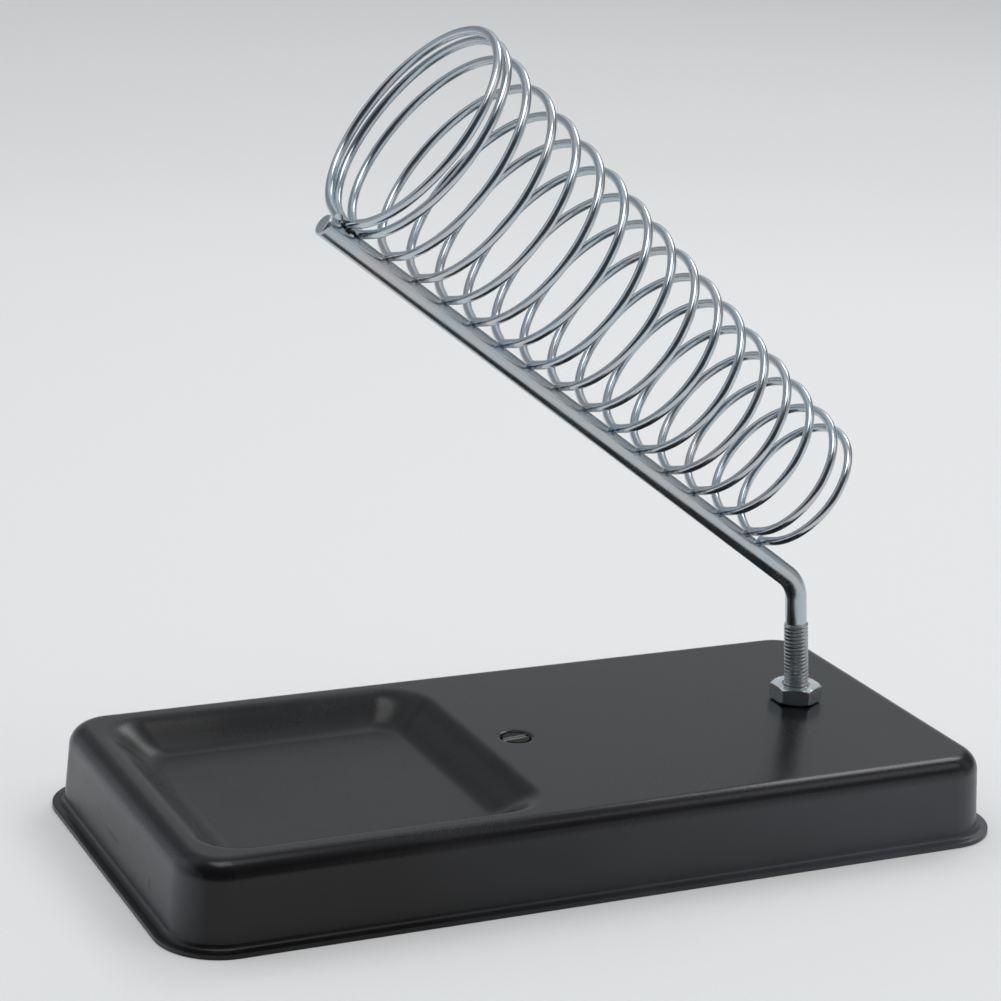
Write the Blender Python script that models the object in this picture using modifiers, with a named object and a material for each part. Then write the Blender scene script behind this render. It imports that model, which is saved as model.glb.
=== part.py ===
"""Soldering iron stand: a pressed steel base with a sponge tray, a bent rod clamped in it by
two nuts, and a conical wire coil, welded along the rod, that holds the iron.

The origin is the centre of the base's footprint on the table. +X points from the tray to the
rod's leg, +Y to the back and +Z up. All sizes are in metres.
"""
import math

import bmesh
import bpy
from mathutils import Matrix, Vector

MM = 0.001
GAP = 0.3 * MM                      # kept between faces that touch on the real stand

# Pressed base
BODY_LENGTH = 168.0 * MM            # over the side walls, just below the top fillet
BODY_WIDTH = 79.2 * MM
BODY_HEIGHT = 16.7 * MM
SHEET = 0.9 * MM
CORNER_RADIUS = 9.0 * MM            # plan corners of the walls
TOP_FILLET = 4.0 * MM
WALL_DRAFT = 0.8 * MM               # how far the walls lean out by the time they reach the flange
FLANGE_OUTSET = 3.2 * MM            # foot flange beyond the top of the walls
FLANGE_RADIUS = 1.2 * MM            # rolled corner between wall and flange
CORNER_STEPS = 8                    # facets in a quarter turn of the plan outline
ROLL_STEPS = 3                      # facets of the rolled corner above the flange
FILLET_STEPS = 6                    # facets of the fillet between wall and plate

# Sponge tray pressed into the plate
TRAY_LEFT = -79.6 * MM
TRAY_RIGHT = -8.8 * MM
TRAY_HALF_WIDTH = 34.6 * MM
TRAY_DEPTH = 5.3 * MM
TRAY_SLOPE = 10.5 * MM              # plan width of the sloping sides
TRAY_CORNER = 10.0 * MM
TRAY_FLOOR_CORNER = 4.0 * MM
TRAY_RINGS = 7

# Threaded leg, bend and arm of the rod
LEG_X = 62.2 * MM
LEG_Y = 1.95 * MM
ROD_RADIUS = 2.2 * MM
THREAD_RADIUS = 2.5 * MM            # crest of the rolled M5 thread
LEG_BOTTOM = 3.0 * MM
THREAD_TOP = 33.7 * MM
LEG_CHAMFER = 0.6 * MM
LEAN_START = 21.0 * MM
LEAN_ANGLE = math.radians(5.3)      # the leg has a slight set towards the tray above its nut
BEND_HEIGHT = 42.3 * MM             # corner where the centre lines of leg and arm meet
BEND_RADIUS = 7.0 * MM
BEND_STEPS = 10
ARM_ANGLE = math.radians(36.58)
ARM_AZIMUTH = math.radians(-1.28)   # at rest the arm points slightly to the back of the tray
ARM_LENGTH = 130.75 * MM            # from that corner to the cut end
ROD_RESOLUTION = 6

# Wire coil
WIRE_RADIUS = 0.87 * MM
COIL_TURNS = 17
COIL_START = 13.1 * MM              # first turn, measured up the arm from the corner
COIL_SMALL_RADIUS = 13.0 * MM       # radii to the wire's centre
COIL_MOUTH_RADIUS = 21.4 * MM
FIRST_PITCH = 3.7 * MM              # closing turn at the small end
LOW_PITCH = 8.0 * MM
HIGH_PITCH = 7.3 * MM
CLOSING_PITCHES = (3.46 * MM, 1.83 * MM)
TURN_TILT = math.radians(1.4)       # tops of the turns lean back towards the leg
POINTS_PER_TURN = 20
WIRE_RESOLUTION = 2

# Nuts and washers on the leg
NUT_FLATS = 9.4 * MM
NUT_THICKNESS = 3.2 * MM
UPPER_NUT_TURN = 0.0                # two sides face along X
LOWER_NUT_TURN = math.radians(30.0)
LEG_BORE = 2.8 * MM
WASHER_RADIUS = 5.0 * MM
WASHER_THICKNESS = 1.0 * MM
SPRING_WASHER_RADIUS = 4.4 * MM
SPRING_WASHER_THICKNESS = 1.2 * MM
SPRING_WASHER_SPLIT = 1.0 * MM

# Ballast under the plate and its countersunk screw
BALLAST_LEFT = -7.2 * MM
BALLAST_RIGHT = 76.0 * MM
BALLAST_WIDTH = 66.0 * MM
BALLAST_THICKNESS = 3.0 * MM
SCREW_X = -2.2 * MM
SCREW_Y = 0.8 * MM
SCREW_RADIUS = 1.5 * MM             # M3
SCREW_HEAD_RADIUS = 2.75 * MM
SCREW_HEAD_RIM = 0.4 * MM
SCREW_HEAD_CONE = 1.25 * MM
SCREW_RECESS = 0.25 * MM            # head top below the plate
SCREW_LENGTH = 9.6 * MM
SLOT_WIDTH = 1.1 * MM
SLOT_DEPTH = 0.7 * MM
SLOT_ANGLE = math.radians(8.0)
SMALL_NUT_FLATS = 5.5 * MM
SMALL_NUT_THICKNESS = 2.4 * MM
SMALL_WASHER_RADIUS = 3.5 * MM
SMALL_WASHER_THICKNESS = 0.5 * MM

ROUND_STEPS = 32
SHARP_ANGLE = math.radians(40.0)    # edges that turn more than this are shaded sharp
PLATE_UNDERSIDE = BODY_HEIGHT - SHEET

BLACK = ((0.035, 0.036, 0.040), 0.32, 0.0)
ZINC = ((0.62, 0.65, 0.68), 0.25, 1.0)
ZINC_WIRE = ((0.66, 0.69, 0.72), 0.20, 1.0)
DARK_STEEL = ((0.10, 0.10, 0.11), 0.45, 1.0)
RAW_STEEL = ((0.36, 0.36, 0.37), 0.50, 1.0)


def clear_scene():
    """Remove everything that is in the file already."""
    for item in list(bpy.data.objects):
        bpy.data.objects.remove(item, do_unlink=True)


def new_collection(name):
    collection = bpy.data.collections.new(name)
    bpy.context.scene.collection.children.link(collection)
    return collection


def new_material(name, look):
    colour, roughness, metallic = look
    material = bpy.data.materials.new(name)
    material.use_nodes = True
    shader = material.node_tree.nodes["Principled BSDF"]
    shader.inputs["Base Color"].default_value = (*colour, 1.0)
    shader.inputs["Roughness"].default_value = roughness
    shader.inputs["Metallic"].default_value = metallic
    return material


def add_object(name, data, collection, look=None, location=(0.0, 0.0, 0.0)):
    item = bpy.data.objects.new(name, data)
    item.location = location
    collection.objects.link(item)
    if look is not None:
        data.materials.append(new_material(name, look))
    return item


def as_cutter(item):
    item.hide_render = True
    item.display_type = "WIRE"
    return item


def shade_round(mesh):
    mesh.shade_smooth()
    mesh.set_sharp_from_angle(angle=SHARP_ANGLE)


def rounded_outline(low, high, radius, steps):
    """Counter-clockwise points of a rectangle with round corners."""
    corners = (
        (high[0] - radius, high[1] - radius, 0.0),
        (low[0] + radius, high[1] - radius, 90.0),
        (low[0] + radius, low[1] + radius, 180.0),
        (high[0] - radius, low[1] + radius, 270.0),
    )
    points = []
    for centre_x, centre_y, start in corners:
        for step in range(steps + 1):
            angle = math.radians(start + 90.0 * step / steps)
            points.append((centre_x + radius * math.cos(angle), centre_y + radius * math.sin(angle)))
    return points


def circle_outline(centre_x, centre_y, radius, steps):
    points = []
    for step in range(steps):
        angle = math.tau * step / steps
        points.append((centre_x + radius * math.cos(angle), centre_y + radius * math.sin(angle)))
    return points


def add_ring(bm, outline, height):
    return [bm.verts.new((x, y, height)) for x, y in outline]


def ring_edges(bm, ring):
    edges = []
    for index, vert in enumerate(ring):
        after = ring[(index + 1) % len(ring)]
        edges.append(bm.edges.get((vert, after)) or bm.edges.new((vert, after)))
    return edges


def bridge_rings(bm, lower, upper):
    """Quads between two rings of equal length, facing out when lower is below upper."""
    count = len(lower)
    for index in range(count):
        after = (index + 1) % count
        bm.faces.new((lower[index], lower[after], upper[after], upper[index]))


def wall_profile():
    """(outset, height) of the outer surface, from the flange's edge up to the flat plate."""
    roll_top = SHEET + FLANGE_RADIUS
    profile = [(FLANGE_OUTSET, SHEET)]
    for step in range(ROLL_STEPS + 1):
        angle = math.radians(90.0 * step / ROLL_STEPS)
        outset = WALL_DRAFT + FLANGE_RADIUS * (1.0 - math.sin(angle))
        profile.append((outset, roll_top - FLANGE_RADIUS * math.cos(angle)))
    for step in range(FILLET_STEPS + 1):
        angle = math.radians(90.0 * step / FILLET_STEPS)
        outset = TOP_FILLET * (math.cos(angle) - 1.0)
        profile.append((outset, BODY_HEIGHT - TOP_FILLET + TOP_FILLET * math.sin(angle)))
    return profile


def tray_profile():
    """(inset, depth) of the tray's sloping sides: an S from the plate down to the floor."""
    profile = []
    for step in range(TRAY_RINGS + 1):
        share = step / TRAY_RINGS
        drop = share * share * (3.0 - 2.0 * share)
        profile.append((share * TRAY_SLOPE, drop * TRAY_DEPTH))
    return profile


def make_base_shell(parts):
    bm = bmesh.new()
    half = Vector((BODY_LENGTH / 2, BODY_WIDTH / 2))
    previous = None
    for outset, height in wall_profile():
        reach = half + Vector((outset, outset))
        radius = CORNER_RADIUS + outset
        ring = add_ring(bm, rounded_outline(-reach, reach, radius, CORNER_STEPS), height)
        if previous:
            bridge_rings(bm, previous, ring)
        previous = ring
    rims = ring_edges(bm, previous)

    previous = None
    for inset, depth in tray_profile():
        low = (TRAY_LEFT + inset, -TRAY_HALF_WIDTH + inset)
        high = (TRAY_RIGHT - inset, TRAY_HALF_WIDTH - inset)
        share = inset / TRAY_SLOPE
        radius = TRAY_CORNER + (TRAY_FLOOR_CORNER - TRAY_CORNER) * share
        ring = add_ring(bm, rounded_outline(low, high, radius, CORNER_STEPS), BODY_HEIGHT - depth)
        if previous:
            bridge_rings(bm, ring, previous)
        else:
            rims += ring_edges(bm, ring)
        previous = ring
    bm.faces.new(previous)

    leg_hole = circle_outline(LEG_X, LEG_Y, LEG_BORE, ROUND_STEPS)
    screw_hole = circle_outline(SCREW_X, SCREW_Y, SCREW_HEAD_RADIUS + GAP, ROUND_STEPS)
    for outline in (leg_hole, screw_hole):
        rims += ring_edges(bm, add_ring(bm, outline, BODY_HEIGHT))
    bmesh.ops.triangle_fill(bm, use_beauty=True, edges=rims, normal=(0.0, 0.0, 1.0))
    bmesh.ops.recalc_face_normals(bm, faces=bm.faces)
    plate = max(bm.faces, key=lambda face: face.calc_center_median().z)
    if plate.normal.z < 0.0:
        bmesh.ops.reverse_faces(bm, faces=bm.faces)

    mesh = bpy.data.meshes.new("base_shell")
    bm.to_mesh(mesh)
    bm.free()
    shade_round(mesh)
    shell = add_object("base_shell", mesh, parts, BLACK)
    solidify = shell.modifiers.new("sheet", "SOLIDIFY")
    solidify.thickness = SHEET
    solidify.offset = -1.0
    solidify.use_even_offset = True
    return shell


def make_turned(name, profile, collection, look, location, closed):
    """A round piece: profile points (radius, height) run down its outer side."""
    mesh = bpy.data.meshes.new(name)
    verts = [(radius, 0.0, height) for radius, height in profile]
    edges = [(index, index + 1) for index in range(len(verts) - 1)]
    if closed:
        edges.append((len(verts) - 1, 0))
    mesh.from_pydata(verts, edges, [])
    item = add_object(name, mesh, collection, look, location)
    screw = item.modifiers.new("turn", "SCREW")
    screw.axis = "Z"
    screw.angle = math.tau
    screw.steps = ROUND_STEPS
    screw.render_steps = ROUND_STEPS
    screw.use_merge_vertices = True
    screw.merge_threshold = 0.00001
    return item


def ring_profile(bore, radius, low, high, chamfer=0.0):
    """Closed profile of a washer or nut blank, down its outer side and back up its bore."""
    if not chamfer:
        return [(bore, high), (radius, high), (radius, low), (bore, low)]
    return [
        (bore, high),
        (radius - chamfer, high),
        (radius, high - chamfer * 0.5),
        (radius, low + chamfer * 0.5),
        (radius - chamfer, low),
        (bore, low),
    ]


def add_boolean(item, cutter, operation):
    cut = item.modifiers.new(cutter.name, "BOOLEAN")
    cut.operation = operation
    cut.solver = "EXACT"
    cut.object = cutter


def make_nut(name, parts, cutters, size, location, look, turn):
    """A hexagon nut: a chamfered turned blank kept only inside a hexagonal prism."""
    flats, thickness, bore = size
    corner = flats / 2 / math.cos(math.radians(30.0))
    profile = ring_profile(bore, corner, 0.0, thickness, chamfer=corner - flats / 2)
    nut = make_turned(name, profile, parts, look, location, closed=True)
    bm = bmesh.new()
    bmesh.ops.create_cone(
        bm, cap_ends=True, segments=6, radius1=corner, radius2=corner, depth=thickness * 2)
    prism_mesh = bpy.data.meshes.new(name + "_hexagon")
    bm.to_mesh(prism_mesh)
    bm.free()
    prism = as_cutter(add_object(name + "_hexagon", prism_mesh, cutters, None, location))
    prism.location.z += thickness / 2
    prism.rotation_euler.z = turn
    add_boolean(nut, prism, "INTERSECT")
    return nut


def make_box_cutter(name, cutters, size, location, turn=0.0):
    bm = bmesh.new()
    bmesh.ops.create_cube(bm, size=1.0, matrix=Matrix.Diagonal((*size, 1.0)))
    mesh = bpy.data.meshes.new(name)
    bm.to_mesh(mesh)
    bm.free()
    box = as_cutter(add_object(name, mesh, cutters, None, location))
    box.rotation_euler.z = turn
    return box


def make_curve(name, points, radii, bevel_radius, resolution, collection, look, parent):
    """A round bar or wire along points in its parent's axes; each point may thin or thicken it."""
    curve = bpy.data.curves.new(name, "CURVE")
    curve.dimensions = "3D"
    curve.bevel_depth = bevel_radius
    curve.bevel_resolution = resolution
    curve.use_fill_caps = True
    spline = curve.splines.new("POLY")
    spline.points.add(len(points) - 1)
    for target, point, radius in zip(spline.points, points, radii):
        target.co = (*point, 1.0)
        target.radius = radius
    item = add_object(name, curve, collection, look)
    item.parent = parent
    return item


def arm_frame():
    """Corner of the centre lines, then the arm's direction, the one square to it and above it, and
    the level one square to both, towards the front."""
    rise = BEND_HEIGHT - LEAN_START
    corner = Vector((-math.tan(LEAN_ANGLE) * rise, 0.0, BEND_HEIGHT))
    along = Vector((-math.cos(ARM_ANGLE), 0.0, math.sin(ARM_ANGLE)))
    upward = Vector((math.sin(ARM_ANGLE), 0.0, math.cos(ARM_ANGLE)))
    return corner, along, upward, Vector((0.0, -1.0, 0.0))


def make_arm(parts, joint):
    """The rod: chamfered threaded leg, slight lean, bend and straight arm with a cut end."""
    corner, along, _, _ = arm_frame()
    lean = Vector((-math.sin(LEAN_ANGLE), 0.0, math.cos(LEAN_ANGLE)))
    thread = THREAD_RADIUS / ROD_RADIUS
    foot = Vector((0.0, 0.0, LEG_BOTTOM))
    knee = Vector((0.0, 0.0, LEAN_START))
    step_point = knee + lean * ((THREAD_TOP - LEAN_START) / lean.z)
    points = [foot, foot + Vector((0.0, 0.0, LEG_CHAMFER)), knee, step_point]
    radii = [(THREAD_RADIUS - LEG_CHAMFER) / ROD_RADIUS, thread, thread, thread]
    points.append(step_point + lean * GAP)
    radii.append(1.0)

    turn = lean.angle(along)
    reach = BEND_RADIUS * math.tan(turn / 2)
    inward = (along - lean * lean.dot(along)).normalized()
    centre = corner - lean * reach + inward * BEND_RADIUS
    for step in range(BEND_STEPS + 1):
        angle = turn * step / BEND_STEPS
        swing = lean * math.sin(angle) - inward * math.cos(angle)
        points.append(centre + swing * BEND_RADIUS)
        radii.append(1.0)
    points.append(corner + along * ARM_LENGTH)
    radii.append(1.0)
    return make_curve("holder_arm", points, radii, ROD_RADIUS, ROD_RESOLUTION, parts, ZINC, joint)


def turn_pitches():
    """Rise of each turn along the arm, from the small end to the mouth."""
    regular = COIL_TURNS - 1 - len(CLOSING_PITCHES)
    step = (HIGH_PITCH - LOW_PITCH) / (regular - 1)
    return [FIRST_PITCH] + [LOW_PITCH + step * index for index in range(regular)] + list(CLOSING_PITCHES)


def coil_stations():
    """Distance along the arm at every point: a smooth curve through the ends of the turns."""
    pitches = turn_pitches()
    slopes = [2.0 * low * high / (low + high) for low, high in zip(pitches, pitches[1:])]
    slopes = [1.5 * pitches[0] - 0.5 * pitches[1]] + slopes + [1.5 * pitches[-1] - 0.5 * pitches[-2]]
    stations = []
    start = COIL_START
    for pitch, slope_in, slope_out in zip(pitches, slopes, slopes[1:]):
        for index in range(POINTS_PER_TURN):
            share = index / POINTS_PER_TURN
            rise = share * share * (3.0 - 2.0 * share) * pitch
            rise += share * (1.0 - share) * ((1.0 - share) * slope_in - share * slope_out)
            stations.append(start + rise)
        start += pitch
    return stations + [start]


def coil_points():
    """Centre line of the wire; every whole turn passes over the top of the rod."""
    corner, along, upward, sideways = arm_frame()
    stations = coil_stations()
    length = stations[-1] - COIL_START
    clearance = ROD_RADIUS + WIRE_RADIUS + GAP
    points = []
    for index, station in enumerate(stations):
        share = (station - COIL_START) / length
        radius = COIL_SMALL_RADIUS + (COIL_MOUTH_RADIUS - COIL_SMALL_RADIUS) * share
        angle = math.tau * index / POINTS_PER_TURN
        height = radius * (1.0 - math.cos(angle))
        point = corner + along * (station - math.tan(TURN_TILT) * height)
        point += upward * (clearance + height) + sideways * radius * math.sin(angle)
        points.append(point)
    return points


def make_coil(parts, joint):
    points = coil_points()
    radii = [1.0] * len(points)
    return make_curve("iron_coil", points, radii, WIRE_RADIUS, WIRE_RESOLUTION, parts, ZINC_WIRE, joint)


def make_leg_hardware(parts, cutters):
    """Nut above the plate; washer, spring washer and nut below the ballast."""
    leg = Vector((LEG_X, LEG_Y, 0.0))
    nut_size = (NUT_FLATS, NUT_THICKNESS, LEG_BORE)
    upper = leg + Vector((0.0, 0.0, BODY_HEIGHT + GAP))
    make_nut("upper_lock_nut", parts, cutters, nut_size, upper, ZINC, UPPER_NUT_TURN)

    level = PLATE_UNDERSIDE - GAP - BALLAST_THICKNESS - GAP - WASHER_THICKNESS
    profile = ring_profile(LEG_BORE, WASHER_RADIUS, 0.0, WASHER_THICKNESS)
    washer_place = leg + Vector((0.0, 0.0, level))
    make_turned("leg_washer", profile, parts, ZINC, washer_place, closed=True)

    level -= GAP + SPRING_WASHER_THICKNESS
    profile = ring_profile(LEG_BORE, SPRING_WASHER_RADIUS, 0.0, SPRING_WASHER_THICKNESS)
    spring_place = leg + Vector((0.0, 0.0, level))
    spring = make_turned("leg_spring_washer", profile, parts, ZINC, spring_place, closed=True)
    split_place = spring_place + Vector((0.0, -SPRING_WASHER_RADIUS, SPRING_WASHER_THICKNESS / 2))
    split_size = (SPRING_WASHER_SPLIT, SPRING_WASHER_RADIUS * 2, SPRING_WASHER_THICKNESS * 3)
    split = make_box_cutter("spring_washer_split", cutters, split_size, split_place)
    add_boolean(spring, split, "DIFFERENCE")

    level -= GAP + NUT_THICKNESS
    lower = leg + Vector((0.0, 0.0, level))
    make_nut("lower_lock_nut", parts, cutters, nut_size, lower, ZINC, LOWER_NUT_TURN)


def screw_cone(radius_gain, top, bottom):
    """Profile of a countersunk screw, or of the hole for it when radius_gain is positive."""
    head = SCREW_HEAD_RADIUS + radius_gain
    shank = SCREW_RADIUS + radius_gain
    seat = BODY_HEIGHT - SCREW_RECESS - SCREW_HEAD_RIM
    return [
        (0.0, top),
        (head, top),
        (head, seat),
        (shank, seat - SCREW_HEAD_CONE),
        (shank, bottom),
        (0.0, bottom),
    ]


def make_ballast(parts, cutters):
    """Flat steel weight against the underside of the plate, with holes for leg and screw."""
    size = (BALLAST_RIGHT - BALLAST_LEFT, BALLAST_WIDTH, BALLAST_THICKNESS)
    bm = bmesh.new()
    bmesh.ops.create_cube(bm, size=1.0, matrix=Matrix.Diagonal((*size, 1.0)))
    mesh = bpy.data.meshes.new("ballast_plate")
    bm.to_mesh(mesh)
    bm.free()
    top = PLATE_UNDERSIDE - GAP
    place = ((BALLAST_LEFT + BALLAST_RIGHT) / 2, 0.0, top - BALLAST_THICKNESS / 2)
    ballast = add_object("ballast_plate", mesh, parts, RAW_STEEL, place)
    reach = BALLAST_THICKNESS * 2
    leg_profile = [(0.0, reach), (LEG_BORE, reach), (LEG_BORE, -reach), (0.0, -reach)]
    leg_place = (LEG_X, LEG_Y, place[2])
    leg_hole = make_turned("ballast_leg_hole", leg_profile, cutters, None, leg_place, closed=False)
    screw_profile = screw_cone(GAP, BODY_HEIGHT, top - reach)
    screw_place = (SCREW_X, SCREW_Y, 0.0)
    screw_hole = make_turned("ballast_screw_hole", screw_profile, cutters, None, screw_place, closed=False)
    add_boolean(ballast, as_cutter(leg_hole), "DIFFERENCE")
    add_boolean(ballast, as_cutter(screw_hole), "DIFFERENCE")
    return ballast


def make_ballast_screw(parts, cutters):
    top = BODY_HEIGHT - SCREW_RECESS
    profile = screw_cone(0.0, top, top - SCREW_LENGTH)
    place = (SCREW_X, SCREW_Y, 0.0)
    screw = make_turned("ballast_screw", profile, parts, DARK_STEEL, place, closed=False)
    slot_size = (SCREW_HEAD_RADIUS * 3, SLOT_WIDTH, SLOT_DEPTH * 2)
    slot = make_box_cutter("screw_slot", cutters, slot_size, (SCREW_X, SCREW_Y, top), SLOT_ANGLE)
    add_boolean(screw, slot, "DIFFERENCE")

    level = PLATE_UNDERSIDE - GAP - BALLAST_THICKNESS - GAP - SMALL_WASHER_THICKNESS
    bore = SCREW_RADIUS + GAP
    profile = ring_profile(bore, SMALL_WASHER_RADIUS, 0.0, SMALL_WASHER_THICKNESS)
    washer_place = (SCREW_X, SCREW_Y, level)
    make_turned("ballast_washer", profile, parts, ZINC, washer_place, closed=True)
    level -= GAP + SMALL_NUT_THICKNESS
    nut_size = (SMALL_NUT_FLATS, SMALL_NUT_THICKNESS, bore)
    make_nut("ballast_nut", parts, cutters, nut_size, (SCREW_X, SCREW_Y, level), ZINC, 0.0)
    return screw


def main():
    clear_scene()
    parts = new_collection("soldering_iron_stand")
    cutters = new_collection("cutters")
    swivel = bpy.data.objects.new("holder_swivel_axis", None)
    swivel.location = (LEG_X, LEG_Y, 0.0)
    swivel.rotation_euler.z = ARM_AZIMUTH
    parts.objects.link(swivel)

    make_base_shell(parts)
    make_ballast(parts, cutters)
    make_ballast_screw(parts, cutters)
    make_leg_hardware(parts, cutters)
    make_arm(parts, swivel)
    make_coil(parts, swivel)


main()
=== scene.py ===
"""Looks of the soldering iron stand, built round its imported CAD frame.

Every piece is in metres in the frame's own axes: +X from the sponge tray to the rod's leg, +Y to
the back, +Z up. Positions come from the frame's boxes. The sizes below add the fine shape.
"""
import math

import bmesh
import bpy
import numpy as np
from mathutils import Matrix, Vector, noise


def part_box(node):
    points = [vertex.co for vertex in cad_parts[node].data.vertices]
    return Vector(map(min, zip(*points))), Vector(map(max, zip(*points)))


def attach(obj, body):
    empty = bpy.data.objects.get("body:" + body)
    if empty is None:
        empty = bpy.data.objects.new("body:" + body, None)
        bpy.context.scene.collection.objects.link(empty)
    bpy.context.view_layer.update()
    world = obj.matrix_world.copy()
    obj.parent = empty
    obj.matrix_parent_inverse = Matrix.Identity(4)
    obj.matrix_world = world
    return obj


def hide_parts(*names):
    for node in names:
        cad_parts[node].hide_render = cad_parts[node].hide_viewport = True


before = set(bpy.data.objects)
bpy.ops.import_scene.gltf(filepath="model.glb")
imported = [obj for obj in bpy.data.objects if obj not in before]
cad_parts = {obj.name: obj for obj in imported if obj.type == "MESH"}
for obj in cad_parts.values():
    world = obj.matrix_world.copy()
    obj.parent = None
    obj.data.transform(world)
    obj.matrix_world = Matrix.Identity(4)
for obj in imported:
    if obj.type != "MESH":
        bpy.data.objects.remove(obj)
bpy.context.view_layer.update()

MM = 0.001

# Pressed base
SHEET = 0.9 * MM
FLANGE_OUTSET = 3.2 * MM
FLANGE_RADIUS = 1.2 * MM
WALL_DRAFT = 0.8 * MM
CORNER_RADIUS = 9.0 * MM
TOP_FILLET = 4.0 * MM
CORNER_STEPS = 28
ROLL_STEPS = 8
FILLET_STEPS = 14
GUARD = 0.12 * MM                   # narrow flat ring beside a curve: it keeps the shading flat
TRAY_MARGIN = 4.4 * MM              # from the wall's top to the tray's rim at its outer end
TRAY_LENGTH = 70.8 * MM
TRAY_WIDTH = 69.2 * MM
TRAY_DEPTH = 5.3 * MM
TRAY_SLOPE = 10.5 * MM
TRAY_CORNER = 10.0 * MM
TRAY_FLOOR_CORNER = 4.0 * MM
TRAY_RINGS = 26
EDGE_ROUND = 0.18 * MM
LEG_CLEARANCE = 2.8 * MM            # radius of the leg's holes in plate, washers and ballast
END_NICKS = (                       # small marks low on the tray's end wall, drawn as gaps in its painted reflection: y, z, length, width
    (1.8 * MM, 6.4 * MM, 8.6 * MM, 1.4 * MM),
    (-20.0 * MM, 6.1 * MM, 1.3 * MM, 2.6 * MM),
)

# Rod
ROD_RADIUS = 2.2 * MM
THREAD_RADIUS = 2.5 * MM
THREAD_PITCH = 0.8 * MM
THREAD_DEPTH = 0.11 * MM
THREAD_TOP = 33.7 * MM
THREAD_ROWS = 12                    # rings in one pitch
LEAN_START = 21.0 * MM
LEAN_ANGLE = math.radians(5.3)
BEND_HEIGHT = 42.3 * MM
BEND_RADIUS = 7.0 * MM
BEND_STEPS = 26
ARM_ANGLE = math.radians(36.58)
ARM_AZIMUTH = math.radians(-1.28)
ARM_LENGTH = 130.75 * MM
ARM_STEPS = 300
ROD_SIDES = 48
FOOT_CHAMFER = 0.55 * MM            # at the leg's lower end
ARM_TIP = (                         # the arm's broken edge, in mm: push beyond, less radius
    (0.16, 0.06), (0.30, 0.20), (0.40, 0.42), (0.44, 0.62),
)

# Wire coil
WIRE_RADIUS = 0.87 * MM
COIL_TURNS = 17
COIL_START = 13.1 * MM
COIL_SMALL_RADIUS = 13.0 * MM
COIL_MOUTH_RADIUS = 21.4 * MM
FIRST_PITCH = 3.7 * MM
LOW_PITCH = 8.0 * MM
HIGH_PITCH = 7.3 * MM
CLOSING_PITCHES = (3.46 * MM, 1.83 * MM)
TURN_TILT = math.radians(1.4)
POINTS_PER_TURN = 84
WIRE_SIDES = 20
WELD_SINK = 0.42 * MM               # how far the wire is pressed into the rod at a weld
WELD_REACH = 2.4 * MM               # along the wire, where that has died away
WELD_HEAT = 1.0 * MM                # how far the burnt look reaches from a weld
BEAD_SIZE = (0.95 * MM, 1.0 * MM, 0.34 * MM)
BEAD_DROP = 0.22 * MM
END_BLOB = (                        # burnt lumps, in mm: along, frontward, above, size
    (-1.9, 1.0, 0.15, 0.72), (-2.7, 1.4, 0.05, 0.6), (-3.5, 0.8, 0.1, 0.66),
    (-2.6, -0.1, 0.3, 0.55), (-4.3, 1.1, -0.1, 0.45), (-1.1, 0.8, 0.1, 0.42),
)

# Fasteners
NUT_FLATS = 9.4 * MM
BORE = 2.56 * MM                    # just clear of the thread's crests
SMALL_NUT_FLATS = 5.5 * MM
SCREW_RADIUS = 1.5 * MM
SCREW_PITCH = 0.5 * MM
SCREW_HEAD_RADIUS = 2.75 * MM
SCREW_HEAD_RIM = 0.4 * MM
SCREW_HEAD_CONE = 1.25 * MM
SLOT_WIDTH = 1.1 * MM
SLOT_DEPTH = 0.4 * MM
SLOT_ANGLE = math.radians(8.0)
COUNTERSINK = (                     # (radius, drop) in mm where the plate dips to the screw's head
    (4.6, 0.0), (4.3, 0.0), (3.9, 0.03), (3.5, 0.11), (3.2, 0.24), (3.05, 0.4),
)

# Stage
CAMERA_PLACE = (-0.2352, -0.4724, 0.2214)
CAMERA_ANGLES = (-25.58, 16.53, 2.77)   # degrees: to the right, downward, rolled
CAMERA_LENS = 102.68
CAMERA_SHIFT = (0.0028, 0.0008)
LIGHT_AIM = (0.0, 0.0, 0.05)
ROOM_PATCHES = (                    # direction, degrees where it ends and where it is full, colour
    ((-0.16, 0.86, 0.48), 27.0, 8.0, (0.30, 0.31, 0.33)),
    ((0.86, 0.38, 0.33), 25.0, 8.0, (0.17, 0.175, 0.185)),
    ((0.30, -0.42, 0.86), 58.0, 24.0, (0.30, 0.31, 0.33)),
    ((-0.50, -0.74, 0.36), 78.0, 42.0, (0.045, 0.046, 0.050)),
)

SHELL_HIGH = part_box("base_shell")[1]
PLATE_TOP = SHELL_HIGH.z
HALF_BODY = Vector((SHELL_HIGH.x - FLANGE_OUTSET, SHELL_HIGH.y - FLANGE_OUTSET))


def box_centre(node):
    low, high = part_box(node)
    return (low + high) / 2


LEG = box_centre("upper_lock_nut").xy.to_3d()
SCREW = box_centre("ballast_screw").xy.to_3d()


# ---------------------------------------------------------------- meshes

def new_piece(name, mesh, material, body, slot, *nodes):
    """Link a finished mesh with its material, tie it to its CAD body and hide the CAD nodes it
    replaces.
    """
    piece = bpy.data.objects.new(name, mesh)
    bpy.context.scene.collection.objects.link(piece)
    mesh.materials.append(material)
    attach(piece, body)
    if nodes:
        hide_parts(*nodes)
    return piece


def finish_mesh(mesh, sharp=35.0):
    """Turn the faces outward and shade smooth, except across edges sharper than sharp degrees."""
    bm = bmesh.new()
    bm.from_mesh(mesh)
    bmesh.ops.recalc_face_normals(bm, faces=bm.faces)
    bm.to_mesh(mesh)
    bm.free()
    mesh.shade_smooth()
    mesh.set_sharp_from_angle(angle=math.radians(sharp))


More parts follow.
